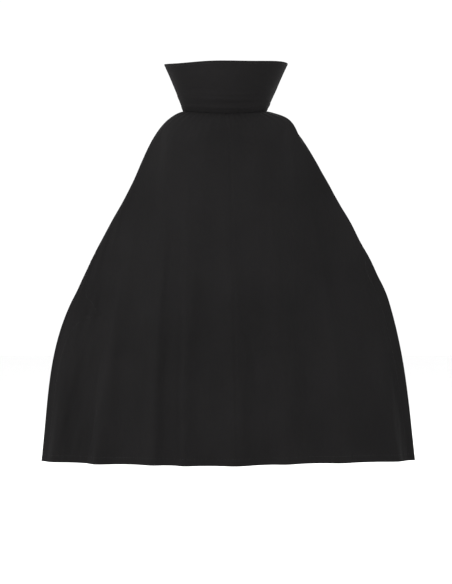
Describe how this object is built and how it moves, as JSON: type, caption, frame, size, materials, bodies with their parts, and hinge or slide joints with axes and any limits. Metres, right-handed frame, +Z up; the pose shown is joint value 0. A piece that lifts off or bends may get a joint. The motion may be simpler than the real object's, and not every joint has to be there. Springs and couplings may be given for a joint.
{
  "type": "stand-collar costume cape",
  "caption": "Child's plain black full-length cape with a stiff flared stand collar, spread by the wearer's arms, with a press-open throat tab.",
  "frame": {"origin": "middle of the neck opening, at the height of the neck seam beside the neck", "axes": "+Z up, the wearer faces -Y and the cape's back is towards +Y, +X is the wearer's left"},
  "size_m": [0.8849, 0.212, 0.945],
  "materials": {
    "cape_cloth": "plain-woven black polyester, matt, soft",
    "collar_cloth": "the same black polyester, fused to a stiff backing",
    "interlining": "stiff non-woven interlining, dark grey",
    "tape": "black grosgrain tape",
    "hook_and_loop": "black hook-and-loop pile",
    "label_satin": "blank off-white satin ribbon"
  },
  "bodies": {
    "cape_body": {"back_panel_left": "cape_cloth", "back_panel_right": "cape_cloth", "back_hem_left": "cape_cloth", "back_hem_right": "cape_cloth", "throat_facing_left": "cape_cloth", "throat_facing_right": "cape_cloth", "centre_back_seam": "cape_cloth", "collar_outer_back": "collar_cloth", "collar_inner_back": "collar_cloth", "collar_stiffener_back": "interlining", "neck_tape": "tape", "closure_strap_left": "tape", "closure_strap_right": "tape", "loop_patch": "hook_and_loop"},
    "wing_left": {"wing_panel_left": "cape_cloth", "wing_hem_left": "cape_cloth", "wing_facing_left": "cape_cloth"},
    "wing_right": {"wing_panel_right": "cape_cloth", "wing_hem_right": "cape_cloth", "wing_facing_right": "cape_cloth"},
    "collar_corner_left": {"collar_outer_left_corner": "collar_cloth", "collar_inner_left_corner": "collar_cloth", "collar_stiffener_left_corner": "interlining"},
    "collar_corner_right": {"collar_outer_right_corner": "collar_cloth", "collar_inner_right_corner": "collar_cloth", "collar_stiffener_right_corner": "interlining"},
    "throat_tab": {"closure_tab": "tape", "hook_patch": "hook_and_loop"},
    "label": {"care_label": "label_satin"}
  },
  "joints": [
    {"name": "wing_swing_left", "type": "hinge", "parent": "cape_body", "child": "wing_left", "pos_m": [0.186, 0, -0.06], "axis": [0, 0, -1], "range_deg": [-20, 50]},
    {"name": "wing_swing_right", "type": "hinge", "parent": "cape_body", "child": "wing_right", "pos_m": [-0.186, 0, -0.06], "axis": [0, 0, 1], "range_deg": [-20, 50]},
    {"name": "collar_fold_left", "type": "hinge", "parent": "cape_body", "child": "collar_corner_left", "pos_m": [0.1262, -0.0092, 0.0644], "axis": [0.2875, 0.6597, 0.6944], "range_deg": [0, 35], "stiffness_Nm_per_rad": 0.05, "springref_deg": -3.44},
    {"name": "collar_fold_right", "type": "hinge", "parent": "cape_body", "child": "collar_corner_right", "pos_m": [-0.1262, -0.0092, 0.0644], "axis": [0.2875, -0.6597, -0.6944], "range_deg": [0, 35], "stiffness_Nm_per_rad": 0.05, "springref_deg": -3.44},
    {"name": "tab_peel", "type": "hinge", "parent": "cape_body", "child": "throat_tab", "pos_m": [0.028, -0.0773, -0.051], "axis": [0, 0, 1], "range_deg": [0, 120]},
    {"name": "label_flip", "type": "hinge", "parent": "cape_body", "child": "label", "pos_m": [0.034, 0.0508, -0.0125], "axis": [-1, 0, 0], "range_deg": [-20, 130]}
  ]
}
